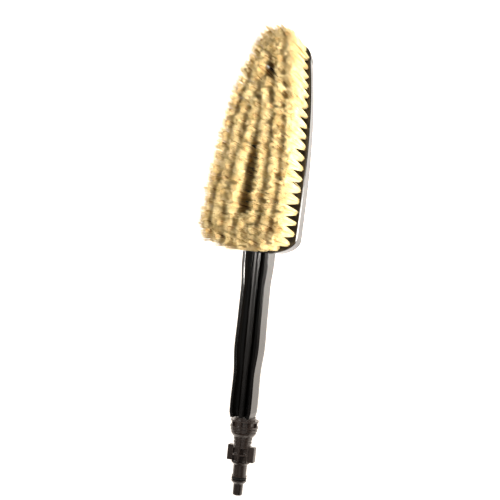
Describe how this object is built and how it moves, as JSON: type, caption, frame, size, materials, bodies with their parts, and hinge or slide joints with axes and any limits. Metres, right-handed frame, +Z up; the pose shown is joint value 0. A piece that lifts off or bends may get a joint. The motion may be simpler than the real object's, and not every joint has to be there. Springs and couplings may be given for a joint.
{
  "type": "flow-through wash brush",
  "caption": "Curved wash brush for a pressure-washer lance, with rings of soft bristles round an open water slot, a ribbed grip and a bayonet connector.",
  "frame": {"origin": "middle of the footprint, on the ground the brush lies on", "axes": "+Y along the brush from the connector to the toe of the head, +Z up out of the bristle tips, +X to the right seen from above with the head away"},
  "size_m": [0.077, 0.411, 0.0799],
  "materials": {
    "black_plastic": "moulded black plastic, satin",
    "connector_plastic": "glass-filled dark plastic, satin",
    "seal_rubber": "matt black seal rubber",
    "bristle": "straw-coloured soft filament, flagged tips"
  },
  "bodies": {
    "root": {"head_body": "black_plastic", "back_cover": "black_plastic", "grip": "black_plastic", "water_pipe": "connector_plastic", "pipe_seal": "seal_rubber", "lance_connector": "connector_plastic", "spigot_seal": "seal_rubber", "nose_seal": "seal_rubber", "outer_row_heel": "bristle", "outer_row_left": "bristle", "outer_row_right": "bristle", "outer_row_toe": "bristle", "middle_row_heel": "bristle", "middle_row_left": "bristle", "middle_row_right": "bristle", "middle_row_toe": "bristle", "inner_row_heel": "bristle", "inner_row_left": "bristle", "inner_row_right": "bristle", "inner_row_toe": "bristle"}
  },
  "joints": []
}
